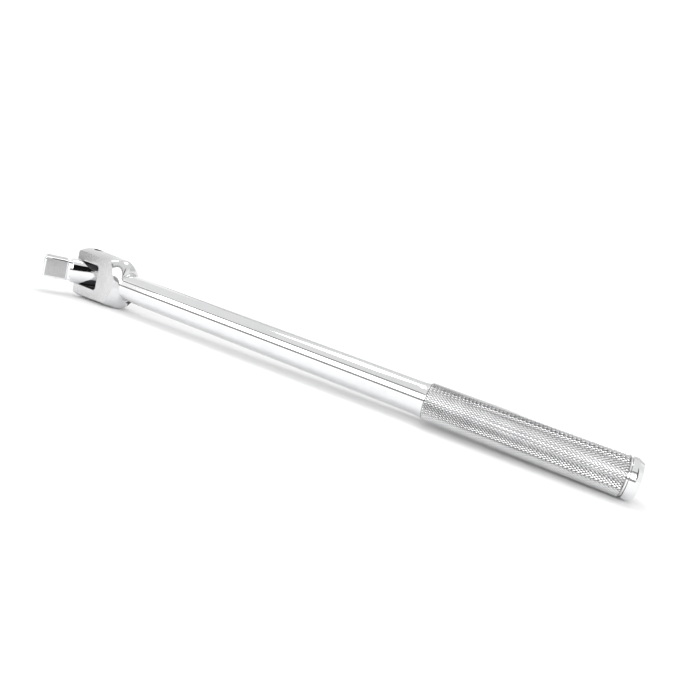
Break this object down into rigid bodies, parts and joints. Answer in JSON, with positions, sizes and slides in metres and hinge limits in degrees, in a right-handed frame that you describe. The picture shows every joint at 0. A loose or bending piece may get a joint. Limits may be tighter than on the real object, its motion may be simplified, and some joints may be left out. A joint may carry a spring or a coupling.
{
  "type": "breaker bar",
  "caption": "Flex-head breaker bar: a chrome forged bar with a knurled grip and a swinging square drive tang pinned in its forked head.",
  "frame": {"origin": "centre of the flat end face of the grip", "axes": "+X along the bar from the forked head to the grip's end, +Z along the pivot pin, +Y across the bar; the drive tang rests swung towards -Y"},
  "size_m": [0.3484, 0.0363, 0.0324],
  "materials": {
    "bar_chrome": "bright chrome plate; mirror on the shank, satin on the head's flat sides, knurled grip",
    "tang_chrome": "chrome plate; satin square, mirror-polished round body",
    "pin_steel": "ground steel",
    "ball_steel": "polished bearing steel",
    "plunger_steel": "turned steel",
    "spring_steel": "drawn spring wire"
  },
  "bodies": {
    "handle": {"handle_bar": "bar_chrome", "pivot_pin": "pin_steel", "tension_spring": "spring_steel"},
    "tang": {"drive_tang": "tang_chrome", "detent_spring": "spring_steel"},
    "ball": {"detent_ball": "ball_steel"},
    "plunger": {"tension_plunger": "plunger_steel"}
  },
  "joints": [
    {"name": "head_swivel", "type": "hinge", "parent": "handle", "child": "tang", "pos_m": [-0.327, 0, 0], "axis": [0, 0, 1], "range_deg": [-150, 40]},
    {"name": "ball_press", "type": "slide", "parent": "tang", "child": "ball", "axis": [0, 0, 1], "range_m": [0, 0.0011], "stiffness_N_per_m": 900, "springref_m": -0.001, "deforming": ["detent_spring"]},
    {"name": "plunger_press", "type": "slide", "parent": "handle", "child": "plunger", "axis": [1, 0, 0], "range_m": [0, 0.0008], "stiffness_N_per_m": 2500, "springref_m": -0.002, "deforming": ["tension_spring"]}
  ]
}
